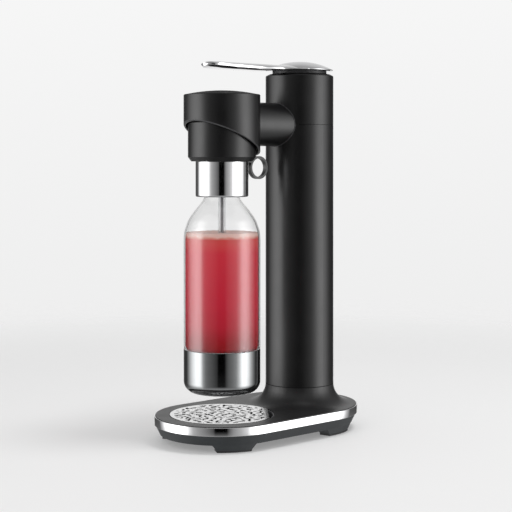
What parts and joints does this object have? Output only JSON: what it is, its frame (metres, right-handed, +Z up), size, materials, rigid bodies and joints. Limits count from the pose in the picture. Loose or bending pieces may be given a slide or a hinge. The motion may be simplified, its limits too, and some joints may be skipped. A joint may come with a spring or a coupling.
{
  "type": "soda carbonator",
  "caption": "Manual countertop carbonator: round tower on an oval base, long press lever, and a bottle hung by its cap from a side head.",
  "frame": {"origin": "on the surface the feet stand on, under the middle of the base", "axes": "+Z up, -Y towards the user (the bottle is in front), +X to the right seen from the front"},
  "size_m": [0.15, 0.2572, 0.424],
  "materials": {
    "black_plastic": "satin",
    "pan_plastic": "matte",
    "polished_steel": "polished",
    "plate_steel": "satin",
    "chassis_steel": "satin",
    "clear_plastic": "gloss",
    "clouded_plastic": "satin",
    "red_drink": "gloss",
    "pale_foam": "matte",
    "brass": "satin",
    "rubber": "matte",
    "silicone": "matte",
    "gas_aluminium": "satin",
    "inner_plastic": "matte",
    "magnet_steel": "satin"
  },
  "bodies": {
    "frame": {"base_pan": "pan_plastic", "foot_pads": "rubber", "base_plate": "chassis_steel", "metal_band": "polished_steel", "base_screws": "chassis_steel", "base_cover": "black_plastic", "tower_lower_shell": "black_plastic", "tower_upper_shell": "black_plastic", "joining_ring": "chassis_steel", "chassis_spine": "chassis_steel", "spine_screws": "chassis_steel", "cylinder_cradle": "rubber", "cylinder_seal": "rubber", "valve_block": "brass", "rod_seal": "rubber", "relief_valve": "brass", "return_spring": "chassis_steel", "gas_line": "chassis_steel", "tower_deck": "inner_plastic", "deck_screws": "chassis_steel", "lever_bracket": "chassis_steel", "lever_pin": "chassis_steel", "arm_tube": "black_plastic", "head_shell": "black_plastic"},
    "carrier": {"cap_carrier": "inner_plastic", "carrier_pins": "chassis_steel", "gas_nozzle": "brass", "nozzle_seal": "rubber", "line_boot": "rubber"},
    "lever": {"lever": "polished_steel", "lever_core": "inner_plastic"},
    "push_rod": {"push_rod": "chassis_steel"},
    "gas_cylinder": {"gas_cylinder": "gas_aluminium", "cylinder_valve": "brass"},
    "valve_pin": {"valve_pin": "chassis_steel"},
    "rear_cover": {"rear_cover": "black_plastic", "cover_magnet": "magnet_steel"},
    "drip_dish": {"drip_dish": "inner_plastic"},
    "drip_plate": {"drip_plate": "plate_steel"},
    "cap": {"cap_body": "black_plastic", "ring_pin": "chassis_steel", "cap_collar": "polished_steel", "cap_insert": "inner_plastic", "neck_gasket": "silicone", "cap_core": "inner_plastic", "inlet_port": "brass", "wand_holder": "inner_plastic", "wand_sheath": "clouded_plastic", "wand_tube": "chassis_steel", "wand_tip": "inner_plastic", "relief_housing": "brass"},
    "release_ring": {"release_ring": "black_plastic"},
    "relief_poppet": {"relief_poppet": "brass"},
    "bottle": {"bottle": "clear_plastic", "bottle_sleeve": "polished_steel", "drink": "red_drink", "foam": "pale_foam"}
  },
  "joints": [
    {"name": "lever_hinge", "type": "hinge", "parent": "frame", "child": "lever", "pos_m": [0, 0.0917, 0.403], "axis": [1, 0, 0], "range_deg": [0, 2.7], "stiffness_Nm_per_rad": 20, "springref_deg": -1.15},
    {"name": "rod_slide", "type": "slide", "parent": "frame", "child": "push_rod", "axis": [0, 0, -1], "range_m": [0, 0.0013], "deforming": ["return_spring"]},
    {"name": "cylinder_twist", "type": "hinge", "parent": "frame", "child": "gas_cylinder", "pos_m": [0, 0.0647, 0.2], "axis": [0, 0, -1], "range_deg": [0, 360]},
    {"name": "pin_slide", "type": "slide", "parent": "gas_cylinder", "child": "valve_pin", "axis": [0, 0, -1], "range_m": [0, 0.0013]},
    {"name": "cover_slide", "type": "slide", "parent": "frame", "child": "rear_cover", "axis": [0, 1, 0], "range_m": [0, 0.06]},
    {"name": "dish_lift", "type": "slide", "parent": "frame", "child": "drip_dish", "axis": [0, 0, 1], "range_m": [0, 0.004]},
    {"name": "plate_lift", "type": "slide", "parent": "drip_dish", "child": "drip_plate", "axis": [0, 0, 1], "range_m": [0, 0.008]},
    {"name": "carrier_tilt", "type": "hinge", "parent": "frame", "child": "carrier", "pos_m": [0, -0.0536, 0.359], "axis": [-1, 0, 0], "range_deg": [0, 10]},
    {"name": "cap_drop", "type": "slide", "parent": "carrier", "child": "cap", "axis": [0, 0, -1], "range_m": [0, 0.01]},
    {"name": "bottle_twist", "type": "hinge", "parent": "cap", "child": "bottle", "pos_m": [0, -0.0536, 0.2], "axis": [0, 0, -1], "range_deg": [0, 300]},
    {"name": "ring_hinge", "type": "hinge", "parent": "cap", "child": "release_ring", "pos_m": [0, -0.0136, 0.3095], "axis": [-1, 0, 0], "range_deg": [0, 25], "stiffness_Nm_per_rad": 0.05, "springref_deg": -2.86},
    {"name": "poppet_slide", "type": "slide", "parent": "cap", "child": "relief_poppet", "axis": [0, 0, 1], "range_m": [0, 0.0042]}
  ],
  "couplings": [
    {"joint": "rod_slide", "follows": "lever_hinge", "m_per_rad": 0.027},
    {"joint": "pin_slide", "follows": "lever_hinge", "m_per_rad": 0.027},
    {"joint": "poppet_slide", "follows": "ring_hinge", "m_per_rad": 0.009}
  ]
}
